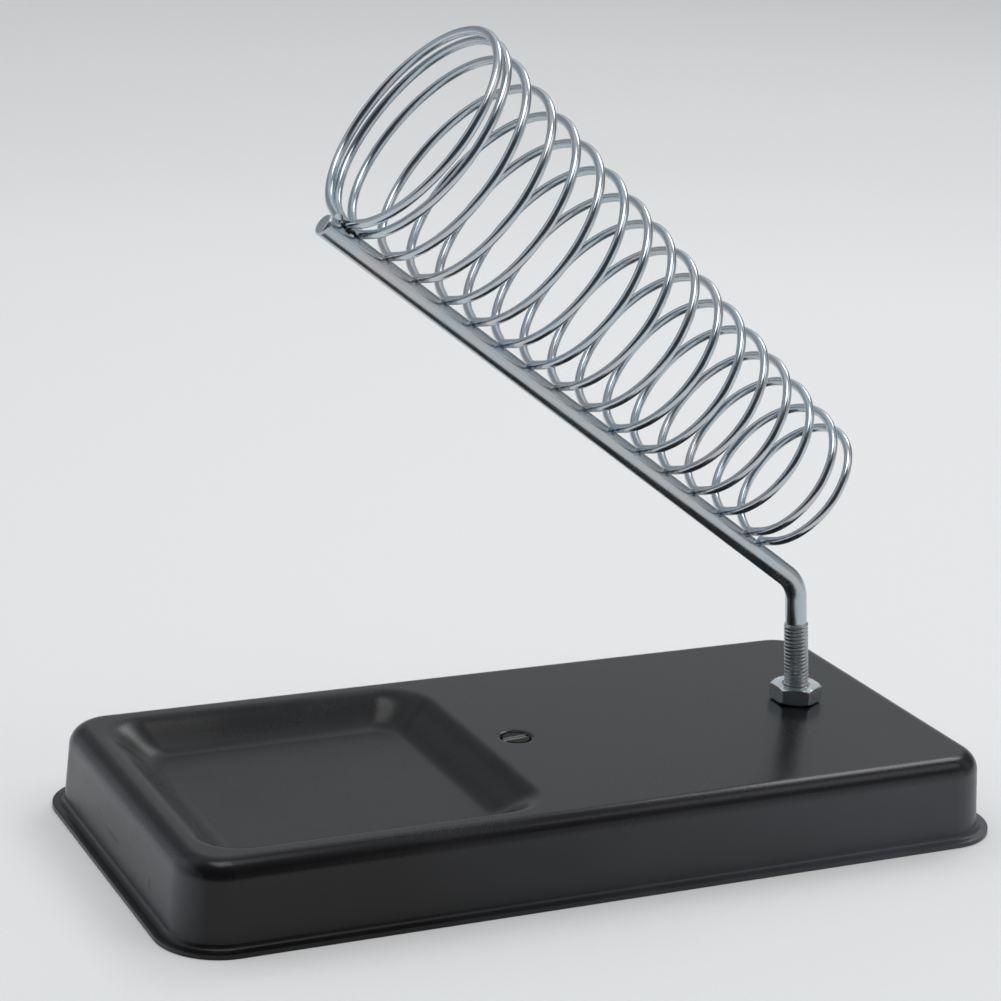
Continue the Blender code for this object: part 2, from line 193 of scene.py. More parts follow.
def loft(name, rings, wrap=False, sharp=35.0, marks=None):
    """A skin over rings of equal length, capped at both ends unless the rings close on themselves.

    The UV map runs once round each ring, and along the rings in centimetres. marks maps attribute
    names to one value a point.
    """
    rings = np.asarray(rings, float)
    count, sides = rings.shape[:2]
    centres = rings.mean(axis=1)
    steps = np.linalg.norm(np.diff(centres, axis=0), axis=1)
    along = np.concatenate([[0.0], np.cumsum(steps)]) * 100.0
    faces = []
    uvs = []
    for row in range(count if wrap else count - 1):
        after = (row + 1) % count
        low, high = along[row], along[max(row, after)]
        for side in range(sides):
            turn = (side + 1) % sides
            faces.append((row * sides + side, row * sides + turn,
                          after * sides + turn, after * sides + side))
            left, right = side / sides, (side + 1) / sides
            uvs += [(left, low), (right, low), (right, high), (left, high)]
    if not wrap:
        for row in (0, count - 1):
            faces.append(tuple(row * sides + side for side in range(sides)))
            uvs += [(side / sides, along[row]) for side in range(sides)]
    mesh = bpy.data.meshes.new(name)
    mesh.from_pydata(rings.reshape(-1, 3).tolist(), [], faces)
    layer = mesh.uv_layers.new(name="along")
    layer.data.foreach_set("uv", np.asarray(uvs, np.float32).ravel())
    for title, values in (marks or {}).items():
        layer = mesh.attributes.new(title, "FLOAT", "POINT")
        layer.data.foreach_set("value", np.asarray(values, np.float32).ravel())
    finish_mesh(mesh, sharp)
    return mesh


def sweep(path, radii, sides):
    """Rings of a round bar along a path. radii holds one value a point, or one for every side."""
    path = np.asarray(path, float)
    radii = np.asarray(radii, float).reshape(len(path), -1)
    tangents = np.gradient(path, axis=0)
    tangents /= np.linalg.norm(tangents, axis=1)[:, None]
    angles = math.tau * np.arange(sides) / sides
    normal = np.cross(tangents[0], (0.0, 1.0, 0.0))
    rings = []
    for point, tangent, radius in zip(path, tangents, radii):
        normal = normal - tangent * normal.dot(tangent)
        normal /= np.linalg.norm(normal)
        binormal = np.cross(tangent, normal)
        spokes = np.outer(np.cos(angles), normal) + np.outer(np.sin(angles), binormal)
        rings.append(point + spokes * np.broadcast_to(radius, sides)[:, None])
    return np.array(rings)


def rounded_outline(low, high, radius, steps):
    """Counter-clockwise points of a rectangle with round corners."""
    corners = (
        (high[0] - radius, high[1] - radius, 0.0),
        (low[0] + radius, high[1] - radius, 90.0),
        (low[0] + radius, low[1] + radius, 180.0),
        (high[0] - radius, low[1] + radius, 270.0),
    )
    points = []
    for centre_x, centre_y, start in corners:
        for step in range(steps + 1):
            angle = math.radians(start + 90.0 * step / steps)
            point = (centre_x + radius * math.cos(angle), centre_y + radius * math.sin(angle))
            points.append(point)
    return points


def circle_outline(centre, radius, steps):
    angles = [math.tau * step / steps for step in range(steps)]
    return [(centre.x + radius * math.cos(angle), centre.y + radius * math.sin(angle))
            for angle in angles]


def add_ring(bm, outline, height):
    return [bm.verts.new((x, y, height)) for x, y in outline]


def ring_edges(bm, ring):
    edges = []
    for index, vert in enumerate(ring):
        after = ring[(index + 1) % len(ring)]
        edges.append(bm.edges.get((vert, after)) or bm.edges.new((vert, after)))
    return edges


def bridge_stack(bm, stack):
    """Quads between consecutive rings, facing out when the stack climbs an outer side."""
    for lower, upper in zip(stack, stack[1:]):
        for index in range(len(lower)):
            after = (index + 1) % len(lower)
            bm.faces.new((lower[index], lower[after], upper[after], upper[index]))


def apply_modifiers(piece):
    """Replace a piece's mesh by the one its modifiers make."""
    graph = bpy.context.evaluated_depsgraph_get()
    mesh = bpy.data.meshes.new_from_object(piece.evaluated_get(graph))
    piece.modifiers.clear()
    piece.data = mesh


# ---------------------------------------------------------------- shaders

def add(tree, kind, inputs=None, **settings):
    """A shader node. inputs maps its sockets to values or to other nodes' output sockets."""
    item = tree.nodes.new(kind)
    for key, value in settings.items():
        setattr(item, key, value)
    for key, value in (inputs or {}).items():
        if isinstance(value, bpy.types.NodeSocket):
            tree.links.new(value, item.inputs[key])
        else:
            item.inputs[key].default_value = value
    return item


def maths(tree, operation, *values):
    """The result of a Math node on one or two values."""
    item = add(tree, "ShaderNodeMath", dict(enumerate(values)), operation=operation)
    return item.outputs["Value"]


def vector_maths(tree, operation, *values, result="Vector"):
    """The result of a Vector Math node on one or two vectors."""
    item = add(tree, "ShaderNodeVectorMath", dict(enumerate(values)), operation=operation)
    return item.outputs[result]


def start_material(name):
    material = bpy.data.materials.new(name)
    material.use_nodes = True
    tree = material.node_tree
    return material, tree, tree.nodes["Principled BSDF"]


def noise_value(tree, vector, scale, detail=3.0, roughness=0.55, distortion=0.0):
    inputs = {"Vector": vector, "Scale": scale, "Detail": detail, "Roughness": roughness,
              "Distortion": distortion}
    return add(tree, "ShaderNodeTexNoise", inputs).outputs["Fac"]


def ramp(tree, factor, *stops):
    """Colour ramp through (position, grey or colour) stops."""
    item = add(tree, "ShaderNodeValToRGB", {"Fac": factor})
    elements = item.color_ramp.elements
    while len(elements) < len(stops):
        elements.new(1.0)
    for element, (position, shade) in zip(elements, stops):
        element.position = position
        rgb = (shade, shade, shade) if isinstance(shade, float) else shade
        element.color = (*rgb, 1.0)
    return item.outputs["Color"]


def mix(tree, factor, first, second, blend="MIX"):
    item = add(tree, "ShaderNodeMix", data_type="RGBA", blend_type=blend)
    for index, value in ((0, factor), (6, first), (7, second)):
        socket = item.inputs[index]
        if isinstance(value, bpy.types.NodeSocket):
            tree.links.new(value, socket)
        else:
            socket.default_value = value if isinstance(value, float) else (*value, 1.0)
    return item.outputs[2]


def spread(tree, value, low, high, start=0.3, end=0.7):
    """Map the stretch from start to end onto low to high, clamped."""
    inputs = {"Value": value, "From Min": start, "From Max": end, "To Min": low, "To Max": high}
    return add(tree, "ShaderNodeMapRange", inputs).outputs["Result"]


def bumps(tree, shader, *layers):
    """Chain bump nodes from (height socket, strength, distance) layers into a shader."""
    normal = None
    for height, strength, distance in layers:
        inputs = {"Height": height, "Strength": strength, "Distance": distance}
        if normal is not None:
            inputs["Normal"] = normal
        normal = add(tree, "ShaderNodeBump", inputs).outputs["Normal"]
    tree.links.new(normal, shader.inputs["Normal"])


def stretched(tree, source, scale):
    return add(tree, "ShaderNodeMapping", {"Vector": source, "Scale": scale}).outputs["Vector"]


def enamel_material():
    """Black baked enamel: faint orange peel, shallow dents, dust, dull scuffs and a bluish haze of
    painted reflection.
    """
    material, tree, shader = start_material("black_enamel")
    place = add(tree, "ShaderNodeTexCoord").outputs["Object"]
    where = add(tree, "ShaderNodeSeparateXYZ", {0: place})
    normal = add(tree, "ShaderNodeNewGeometry").outputs["Normal"]
    facing = add(tree, "ShaderNodeSeparateXYZ", {0: normal})
    cloud = noise_value(tree, place, 45.0, 4.0)
    scuff = noise_value(tree, stretched(tree, place, (900.0, 160.0, 400.0)), 1.0, 5.0, 0.7, 1.5)
    specks = add(tree, "ShaderNodeTexVoronoi", {"Vector": place, "Scale": 420.0})
    dust = ramp(tree, specks.outputs["Distance"], (0.0, 1.0), (0.07, 0.0))
    dusty = mix(tree, spread(tree, cloud, 0.0, 0.30, 0.45, 0.7), (0.0, 0.0, 0.0), dust)
    black, grey = (0.0045, 0.0045, 0.0052), (0.0080, 0.0080, 0.0090)
    colour = mix(tree, spread(tree, cloud, 0.0, 1.0), black, grey)
    colour = mix(tree, dusty, colour, (0.10, 0.10, 0.10))
    # painted reflection: walls and flange carry a bluish sheen painted into the colour, stronger
    # towards the leg's end
    steep = spread(tree, maths(tree, "SUBTRACT", 1.0, facing.outputs["Z"]), 0.0, 1.0, 0.5, 1.0)
    foot = spread(tree, where.outputs["Z"], 0.8, 0.0, 1.3 * MM, 2.2 * MM)
    tint_mask = spread(tree, where.outputs["X"], 0.0, 1.0, -45 * MM, 60 * MM)
    tint_mask = maths(tree, "MULTIPLY", tint_mask, maths(tree, "MAXIMUM", steep, foot))
    # the tray's end wall carries the painted reflection too, except where it is nicked
    end = spread(tree, facing.outputs["X"], 1.0, 0.0, -0.95, -0.55)
    end = maths(tree, "MULTIPLY", end, spread(tree, where.outputs["Z"], 0.8, 1.0, 3 * MM, 15 * MM))
    for y, z, length, width in END_NICKS:
        away = vector_maths(tree, "SUBTRACT", place, (0.0, y, z))
        away = stretched(tree, away, (0.0, 2.0 / length, 2.0 / width))
        away = vector_maths(tree, "LENGTH", away, result="Value")
        end = maths(tree, "MULTIPLY", end, spread(tree, away, 0.0, 1.0, 0.5, 1.1))
    tint_mask = maths(tree, "MAXIMUM", tint_mask, end)
    tint_mask = maths(tree, "MULTIPLY", tint_mask, spread(tree, cloud, 0.75, 1.0))
    # the painted reflection's bluish grey is mixed into the enamel's colour
    tree.links.new(mix(tree, tint_mask, colour, (0.068, 0.072, 0.082)), shader.inputs["Base Color"])
    # the sponge has rubbed the tray's floor duller
    rubbed = spread(tree, where.outputs["Z"], 0.09, 0.0, PLATE_TOP - TRAY_DEPTH, PLATE_TOP)
    dullness = maths(tree, "ADD", spread(tree, cloud, 0.19, 0.26), rubbed)
    dullness = maths(tree, "ADD", dullness, spread(tree, scuff, 0.0, 0.07, 0.5, 0.75))
    tree.links.new(dullness, shader.inputs["Roughness"])
    shader.inputs["IOR"].default_value = 1.42
    bumps(
        tree, shader,
        (noise_value(tree, place, 26.0, 1.0), 1.0, 0.10 * MM),
        (noise_value(tree, place, 620.0, 2.0), 1.0, 0.0013 * MM),
    )
    return material


def zinc_material(name, tint, roughness, along_wire, milky=0.0):
    """Bright zinc plate: drawing lines, pale passivation colours, and burnt marks at welds.

    milky is the share of its light that a dull crystalline plate scatters.
    """
    material, tree, shader = start_material(name)
    coordinates = add(tree, "ShaderNodeTexCoord").outputs
    place = coordinates["Object"]
    cloud = noise_value(tree, place, 130.0, 3.0)
    tint_mask = noise_value(tree, place, 70.0, 2.0, 0.5, 0.6)
    cool = tuple(value * share for value, share in zip(tint, (0.93, 1.0, 1.07)))
    warm = tuple(value * share for value, share in zip(tint, (1.05, 0.98, 0.98)))
    green = tuple(value * share for value, share in zip(tint, (0.94, 1.02, 0.99)))
    colour = ramp(tree, tint_mask, (0.30, warm), (0.45, tint), (0.55, cool), (0.70, green))
    if along_wire:
        drawn = stretched(tree, coordinates["UV"], (46.0, 0.9, 1.0))
        fine = 0.0035 * MM
    else:
        drawn = stretched(tree, place, (500.0, 500.0, 3500.0))
        fine = 0.003 * MM
    lines = noise_value(tree, drawn, 1.0, 4.0, 0.6)
    shadow = tuple(value * 0.55 for value in tint)
    colour = mix(tree, spread(tree, lines, 0.0, 0.22), colour, shadow)
    heat = add(tree, "ShaderNodeAttribute", attribute_name="heat").outputs["Fac"]
    ragged = maths(tree, "MULTIPLY", heat, spread(tree, cloud, 0.55, 1.35))
    burn = ramp(tree, ragged, (0.05, 0.0), (0.75, 1.0))
    scorch = ramp(tree, ragged, (0.25, (0.46, 0.54, 0.61)), (0.6, (0.30, 0.33, 0.37)),
                  (0.95, (0.07, 0.068, 0.072)))
    worked = add(tree, "ShaderNodeAttribute", attribute_name="dull").outputs["Fac"]
    colour = mix(tree, worked, colour, tuple(value * 0.78 for value in tint))
    tree.links.new(mix(tree, burn, colour, scorch), shader.inputs["Base Color"])
    tree.links.new(spread(tree, worked, 1.0 - milky, 0.88), shader.inputs["Metallic"])
    polish = spread(tree, cloud, roughness * 0.8, roughness * 1.25)
    polish = mix(tree, worked, polish, (0.33, 0.33, 0.33))
    tree.links.new(mix(tree, burn, polish, (0.5, 0.5, 0.5)), shader.inputs["Roughness"])
    grain = noise_value(tree, place, 900.0, 2.0)
    bumps(tree, shader, (lines, 1.0, fine), (grain, 1.0, 0.003 * MM))
    return material


def burnt_material():
    """Weld metal and burnt flux: nearly black with rusty and blue patches, rough and pitted; on
    the crossings' beads the near-black is also painted crevice shade.
    """
    material, tree, shader = start_material("weld_metal_and_crevice_shade")
    place = add(tree, "ShaderNodeTexCoord").outputs["Object"]
    patch = noise_value(tree, place, 900.0, 4.0, 0.6, 0.5)
    colour = ramp(tree, patch, (0.42, (0.016, 0.015, 0.016)), (0.54, (0.045, 0.038, 0.036)),
                  (0.62, (0.10, 0.12, 0.14)), (0.74, (0.40, 0.45, 0.48)))
    tree.links.new(colour, shader.inputs["Base Color"])
    shader.inputs["Metallic"].default_value = 0.75
    tree.links.new(spread(tree, patch, 0.35, 0.6), shader.inputs["Roughness"])
    bumps(tree, shader, (noise_value(tree, place, 1800.0, 3.0), 1.0, 0.05 * MM))
    return material


def steel_material(name, dark, light, roughness, metallic, scale, rust=0.0):
    """Bare or blackened steel with rolling marks, and a little rust where asked."""
    material, tree, shader = start_material(name)
    place = add(tree, "ShaderNodeTexCoord").outputs["Object"]
    cloud = noise_value(tree, place, scale, 5.0, 0.62, 0.3)
    rolled = noise_value(tree, stretched(tree, place, (60.0, 1400.0, 1400.0)), 1.0, 4.0)
    colour = mix(tree, spread(tree, cloud, 0.0, 1.0), dark, light)
    groove = tuple(value * 0.6 for value in dark)
    colour = mix(tree, spread(tree, rolled, 0.0, 0.35), colour, groove)
    blotch = spread(tree, noise_value(tree, place, scale * 2.3, 4.0), 0.0, rust, 0.56, 0.72)
    colour = mix(tree, blotch, colour, (0.16, 0.065, 0.028))
    tree.links.new(colour, shader.inputs["Base Color"])
    shader.inputs["Metallic"].default_value = metallic
    dullness = spread(tree, cloud, roughness * 0.8, roughness * 1.3)
    tree.links.new(dullness, shader.inputs["Roughness"])
    bumps(tree, shader, (rolled, 1.0, 0.004 * MM), (cloud, 1.0, 0.01 * MM))
    return material


def screw_material():
    """Black oxide that the driver has worn off along the slot's edges."""
    dark, light = (0.010, 0.010, 0.011), (0.022, 0.022, 0.023)
    material = steel_material("blackened_steel", dark, light, 0.45, 0.4, 500.0)
    tree = material.node_tree
    shader = tree.nodes["Principled BSDF"]
    place = add(tree, "ShaderNodeTexCoord").outputs["Object"]
    offset = vector_maths(tree, "SUBTRACT", place, SCREW)
    across = (-math.sin(SLOT_ANGLE), math.cos(SLOT_ANGLE), 0.0)
    side = vector_maths(tree, "DOT_PRODUCT", offset, across, result="Value")
    distance = maths(tree, "ABSOLUTE", side)
    worn = spread(tree, distance, 1.0, 0.0, SLOT_WIDTH / 2, SLOT_WIDTH / 2 + 0.25 * MM)
    patchy = spread(tree, noise_value(tree, place, 1500.0), 0.3, 1.0)
    worn = maths(tree, "MULTIPLY", worn, patchy)
    black = shader.inputs["Base Color"].links[0].from_socket
    tree.links.new(mix(tree, worn, black, (0.46, 0.44, 0.41)), shader.inputs["Base Color"])
    shader.inputs["IOR"].default_value = 1.22
    return material


# ---------------------------------------------------------------- pressed base

def wall_profile():
    """(outset, height) of the outer surface, from the flange's edge up to the flat plate."""
    roll_top = SHEET + FLANGE_RADIUS
    profile = [(FLANGE_OUTSET, SHEET)]
    for step in range(ROLL_STEPS + 1):
        angle = math.radians(90.0 * step / ROLL_STEPS)
        outset = WALL_DRAFT + FLANGE_RADIUS * (1.0 - math.sin(angle))
        profile.append((outset, roll_top - FLANGE_RADIUS * math.cos(angle)))
    for step in range(FILLET_STEPS + 1):
        angle = math.radians(90.0 * step / FILLET_STEPS)
        outset = TOP_FILLET * (math.cos(angle) - 1.0)
        profile.append((outset, PLATE_TOP - TOP_FILLET + TOP_FILLET * math.sin(angle)))
    profile.append((-TOP_FILLET - GUARD, PLATE_TOP))
    return profile


def tray_profile():
    """(inset, depth) of the tray's sides: an S from the plate down to the floor."""
    profile = [(-GUARD, 0.0)]
    for step in range(TRAY_RINGS + 1):
        share = step / TRAY_RINGS
        profile.append((share * TRAY_SLOPE, share * share * (3.0 - 2.0 * share) * TRAY_DEPTH))
    profile.append((TRAY_SLOPE + GUARD, TRAY_DEPTH))
    return profile


def make_base(material):
    bm = bmesh.new()
    walls = []
    for outset, height in wall_profile():
        reach = HALF_BODY + Vector((outset, outset))
        radius = CORNER_RADIUS + outset
        walls.append(add_ring(bm, rounded_outline(-reach, reach, radius, CORNER_STEPS), height))
    bridge_stack(bm, walls)
    rims = ring_edges(bm, walls[-1])

    tray = []
    left = -HALF_BODY.x + TRAY_MARGIN
    for inset, depth in tray_profile():
        low = (left + inset, -TRAY_WIDTH / 2 + inset)
        high = (left + TRAY_LENGTH - inset, TRAY_WIDTH / 2 - inset)
        share = inset / TRAY_SLOPE
        radius = TRAY_CORNER + (TRAY_FLOOR_CORNER - TRAY_CORNER) * share
        outline = rounded_outline(low, high, radius, CORNER_STEPS)
        tray.append(add_ring(bm, outline, PLATE_TOP - depth))
    bridge_stack(bm, tray[::-1])
    rims += ring_edges(bm, tray[0])
    bm.faces.new(tray[-1])

    leg_hole = [(LEG_CLEARANCE + GUARD * 2, 0.0), (LEG_CLEARANCE, 0.0)]
    screw_hole = [(radius * MM, drop * MM) for radius, drop in COUNTERSINK]
    for centre, profile in ((LEG, leg_hole), (SCREW, screw_hole)):
        stack = []
        for radius, drop in profile:
            stack.append(add_ring(bm, circle_outline(centre, radius, 64), PLATE_TOP - drop))
        bridge_stack(bm, stack[::-1])
        rims += ring_edges(bm, stack[0])
    bmesh.ops.triangle_fill(bm, use_beauty=True, edges=rims, normal=(0.0, 0.0, 1.0))
    bmesh.ops.recalc_face_normals(bm, faces=bm.faces)
    plate = max(bm.faces, key=lambda face: face.calc_area())
    if plate.normal.z < 0.0:
        bmesh.ops.reverse_faces(bm, faces=bm.faces)
    mesh = bpy.data.meshes.new("base_shell_enamel")
    bm.to_mesh(mesh)
    bm.free()

    piece = new_piece("base_shell_enamel", mesh, material, "base", "black_enamel", "base_shell")
    solidify = piece.modifiers.new("sheet", "SOLIDIFY")
    solidify.thickness = SHEET
    solidify.offset = -1.0
    solidify.use_even_offset = True
    bevel = piece.modifiers.new("edges", "BEVEL")
    bevel.width = EDGE_ROUND
    bevel.segments = 2
    bevel.limit_method = "ANGLE"
    bevel.angle_limit = math.radians(60.0)
    apply_modifiers(piece)
    # the sheet's inner rings meet under the countersink
    bm = bmesh.new()
    bm.from_mesh(piece.data)
    bmesh.ops.remove_doubles(bm, verts=bm.verts, dist=0.001 * MM)
    bm.to_mesh(piece.data)
    bm.free()
    piece.data.shade_smooth()
    piece.data.set_sharp_from_angle(angle=math.radians(50.0))


# ---------------------------------------------------------------- rod and coil

def arm_frame():
    """Corner of the centre lines, then the arm's direction, the one square to it and above it, and
    the level one square to both, towards the front."""
    turn = Matrix.Rotation(ARM_AZIMUTH, 3, "Z")
    corner = Vector((-math.tan(LEAN_ANGLE) * (BEND_HEIGHT - LEAN_START), 0.0, BEND_HEIGHT))
    along = Vector((-math.cos(ARM_ANGLE), 0.0, math.sin(ARM_ANGLE)))
    upward = Vector((math.sin(ARM_ANGLE), 0.0, math.cos(ARM_ANGLE)))
    return LEG + turn @ corner, turn @ along, turn @ upward, turn @ Vector((0.0, -1.0, 0.0))


def thread_radii(distance, sides, crest, depth, pitch):
    """Radius of a rolled right-hand thread at every side of one ring."""
    phase = (distance / pitch - np.arange(sides) / sides) % 1.0
    slope = np.clip((np.abs(phase - 0.5) * 2.0 - 0.15) / 0.62, 0.0, 1.0)
    return crest - depth * slope


def leg_points():
    """Centre line of the leg up to the start of the bend, closely spaced along the thread."""
    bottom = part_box("holder_arm")[0].z
    lean = Vector((-math.sin(LEAN_ANGLE), 0.0, math.cos(LEAN_ANGLE)))
    lean = Matrix.Rotation(ARM_AZIMUTH, 3, "Z") @ lean
    spacing = THREAD_PITCH / THREAD_ROWS
    points = []
    travel = 0.0
    while True:
        height = bottom + travel
        point = LEG + Vector((0.0, 0.0, min(height, LEAN_START)))
        if height > LEAN_START:
            point += lean * (height - LEAN_START)
        points.append(point)
        travel += spacing if point.z < THREAD_TOP + THREAD_PITCH else spacing * 6
        if point.z > BEND_HEIGHT - BEND_RADIUS * 0.42:
            return points, lean


def rod_path():
    """Centre line of the whole rod, and how many of its points are on the leg."""
    corner, along, _, _ = arm_frame()
    points, lean = leg_points()
    turn = lean.angle(along)
    reach = BEND_RADIUS * math.tan(turn / 2)
    inward = (along - lean * lean.dot(along)).normalized()
    centre = corner - lean * reach + inward * BEND_RADIUS
    start = corner - lean * reach
    points = [point for point in points if (start - point).dot(lean) > 0.0]
    leg_count = len(points)
    for step in range(BEND_STEPS + 1):
        angle = turn * step / BEND_STEPS
        points.append(centre + (lean * math.sin(angle) - inward * math.cos(angle)) * BEND_RADIUS)
    for step in range(1, ARM_STEPS + 1):
        points.append(corner + along * (reach + (ARM_LENGTH - reach) * step / ARM_STEPS))
    return points, leg_count


def make_rod(material, welds):
    points, leg_count = rod_path()
    radii = np.full((len(points), ROD_SIDES), ROD_RADIUS)
    dull = np.zeros((len(points), ROD_SIDES))
    for index in range(leg_count):
        travel = (points[index] - points[0]).length
        fade_in = min(1.0, travel / THREAD_PITCH)
        left = (THREAD_TOP - points[index].z) / THREAD_PITCH
        fade_out = min(1.0, max(0.0, left + 1.0))
        crest = ROD_RADIUS + (THREAD_RADIUS - ROD_RADIUS) * min(1.0, max(0.0, left * 3.0))
        crest -= FOOT_CHAMFER * (1.0 - fade_in)
        depth = THREAD_DEPTH * fade_in if left > 0.0 else 0.0
        radii[index] = thread_radii(travel, ROD_SIDES, crest, depth * fade_out, THREAD_PITCH)
        dull[index] = 1.0 if left > 0.0 else 0.0
    tip = len(points) - 1
    along = (points[tip] - points[tip - 1]).normalized()
    for push, shrink in ARM_TIP:
        points.append(points[tip] + along * push * MM)
        radii = np.vstack([radii, np.full((1, ROD_SIDES), ROD_RADIUS - shrink * MM)])
        dull = np.vstack([dull, np.zeros((1, ROD_SIDES))])
    rings = sweep(points, radii, ROD_SIDES)
    heat = weld_heat(rings.reshape(-1, 3), welds)
    mesh = loft("holder_rod", rings, sharp=42.0, marks={"heat": heat, "dull": dull})
    new_piece("holder_rod", mesh, material, "holder", "zinc_rod", "holder_arm")


def turn_pitches():
    """Rise of each turn along the arm, from the small end to the mouth."""
    regular = COIL_TURNS - 1 - len(CLOSING_PITCHES)
    step = (HIGH_PITCH - LOW_PITCH) / (regular - 1)
    middle = [LOW_PITCH + step * index for index in range(regular)]
    return [FIRST_PITCH, *middle, *CLOSING_PITCHES]


def coil_stations():
    """Distance along the arm at every point: a smooth curve through the ends of the turns."""
    pitches = turn_pitches()
    slopes = [2.0 * low * high / (low + high) for low, high in zip(pitches, pitches[1:])]
    first, last = 1.5 * pitches[0] - 0.5 * pitches[1], 1.5 * pitches[-1] - 0.5 * pitches[-2]
    slopes = [first, *slopes, last]
    stations = []
    start = COIL_START
    for pitch, slope_in, slope_out in zip(pitches, slopes, slopes[1:]):
        for index in range(POINTS_PER_TURN):
            share = index / POINTS_PER_TURN
            rise = share * share * (3.0 - 2.0 * share) * pitch
            rise += share * (1.0 - share) * ((1.0 - share) * slope_in - share * slope_out)
            stations.append(start + rise)
        start += pitch
    return stations + [start]


def coil_points():
    """Centre line of the wire. Each turn starts pressed into the top of the rod."""
    corner, along, upward, sideways = arm_frame()
    stations = coil_stations()
    length = stations[-1] - COIL_START
    points = []
    for index, station in enumerate(stations):
        share = (station - COIL_START) / length
        radius = COIL_SMALL_RADIUS + (COIL_MOUTH_RADIUS - COIL_SMALL_RADIUS) * share
        angle = math.tau * index / POINTS_PER_TURN
        height = radius * (1.0 - math.cos(angle))
        reach = radius * math.sin(angle)
        sink = WELD_SINK * math.exp(-(reach / WELD_REACH) ** 2) if math.cos(angle) > 0.0 else 0.0
        point = corner + along * (station - math.tan(TURN_TILT) * height)
        point += upward * (ROD_RADIUS + WIRE_RADIUS - sink + height) + sideways * reach
        points.append(point)
    return points


def weld_heat(points, welds):
    """How burnt each point is: 1 at a weld, falling off with distance."""
    points = np.asarray(points)
    heat = np.zeros(len(points))
    for weld in welds:
        away = np.linalg.norm(points - np.array(weld), axis=1)
        heat = np.maximum(heat, np.exp(-(away / WELD_HEAT) ** 2))
    return heat


def make_coil(material, points, welds):
    radii = np.full(len(points), WIRE_RADIUS)
    rings = sweep(points, radii, WIRE_SIDES)
    heat = weld_heat(rings.reshape(-1, 3), welds)
    mesh = loft("coil_wire", rings, marks={"heat": heat})
    new_piece("coil_wire", mesh, material, "holder", "zinc_wire", "iron_coil")


def lump(bm, centre, size, seed, roughness):
    """One irregular bead of weld metal, its size given along, across and above the arm."""
    made = bmesh.ops.create_icosphere(bm, subdivisions=3, radius=1.0)
    offset = Vector((seed * 3.7, seed * 1.9, seed * 5.3))
    _, along, upward, sideways = arm_frame()
    for vert in made["verts"]:
        swell = 1.0 + roughness * noise.noise(vert.co * 1.8 + offset)
        local = vert.co * swell
        vert.co = centre + along * local.x * size[0] + sideways * local.y * size[1]
        vert.co += upward * local.z * size[2]


def make_welds(material, welds):
    """Squeezed-out metal at every crossing, its near-black also painted shade of the crevice, and
    the ragged burnt blob at the end of the wire.
    """
    _, along, upward, sideways = arm_frame()
    bm = bmesh.new()
    # the beads are weld flash, and their near-black colour is painted shade of the crevice where
    # the wire meets the rod
    for index, weld in enumerate(welds):
        lump(bm, weld - upward * BEAD_DROP, BEAD_SIZE, index, 0.45)
    end = welds[-1]
    for index, (push, side, rise, size) in enumerate(END_BLOB):
        centre = end + along * push * MM + upward * rise * MM + sideways * side * MM
        lump(bm, centre, (size * MM, size * 0.85 * MM, size * 0.55 * MM), 40 + index, 0.6)
    mesh = bpy.data.meshes.new("weld_beads_and_crevice_shade")
    bm.to_mesh(mesh)
    bm.free()
    mesh.shade_smooth()
    new_piece("weld_beads_and_crevice_shade", mesh, material, "holder", "zinc_wire")


# ---------------------------------------------------------------- fasteners

def hexagon_radius(angle, flats, turn):
    """Distance from a nut's axis to its side in a direction, with its corners just broken."""
    sector = math.radians(60.0)
    offset = (angle - turn) % sector - sector / 2
    corner = flats / 2 / math.cos(sector / 2)
    return min(flats / 2 / math.cos(offset), corner - 0.07 * MM)


def make_nut(name, node, material, body, slot, flats, bore, pitch, turn):
    """A hexagon nut with 30 degree chamfers, a countersunk mouth and an inner thread."""
    low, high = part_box(node)
    centre = box_centre(node)
    thickness = high.z - low.z
    sides = 96
    chamfer_from = flats / 2 * 1.03
    soft = 0.06 * MM
    mouth = bore * 1.16
    columns = [turn + math.tau * side / sides for side in range(sides)]
    reach = [hexagon_radius(angle, flats, turn) for angle in columns]

    def drop(radius):
        return max(0.0, radius - chamfer_from) * math.tan(math.radians(30.0))

    rows = []
    for top in (1.0, -1.0):
        edge = [(r, thickness / 2 - drop(r)) for r in reach]
        rim = [
            [(mouth, thickness / 2)] * sides,
            [(min(chamfer_from, r - 3 * soft), thickness / 2) for r in reach],
            [(r - soft, h + soft * 0.4) for r, h in edge],
            [(r, h - soft) for r, h in edge],
        ]
        rim = [[(r, h * top) for r, h in row] for row in rim]
        rows += rim if top > 0.0 else rim[::-1]
    thread_rows = max(8, int((thickness - (mouth - bore) * 2) / pitch * 8))
    inner = thickness / 2 - (mouth - bore)
    for step in range(thread_rows + 1):
        height = -inner + 2 * inner * step / thread_rows
        fade = min(1.0, min(step, thread_rows - step) / 4)
        radii = bore + thread_radii(height, sides, 0.3 * pitch, 0.3 * pitch, pitch) * fade
        rows.append([(r, height) for r in radii])
    rings = []
    for row in rows:
        rings.append([
            (centre.x + r * math.cos(angle), centre.y + r * math.sin(angle), centre.z + h)
            for (r, h), angle in zip(row, columns)
        ])
    mesh = loft(name, rings, wrap=True, sharp=24.0)
    new_piece(name, mesh, material, body, slot, node)


def make_round(name, node, material, slot, profile, sides=64):
    """A turned ring from a closed (radius, height above its box's floor) profile."""
    low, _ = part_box(node)
    centre = box_centre(node)
    rings = []
    for radius, height in profile:
        outline = circle_outline(centre, radius, sides)
        rings.append([(x, y, low.z + height) for x, y in outline])
    mesh = loft(name, rings, wrap=True, sharp=40.0)
    new_piece(name, mesh, material, "base", slot, node)


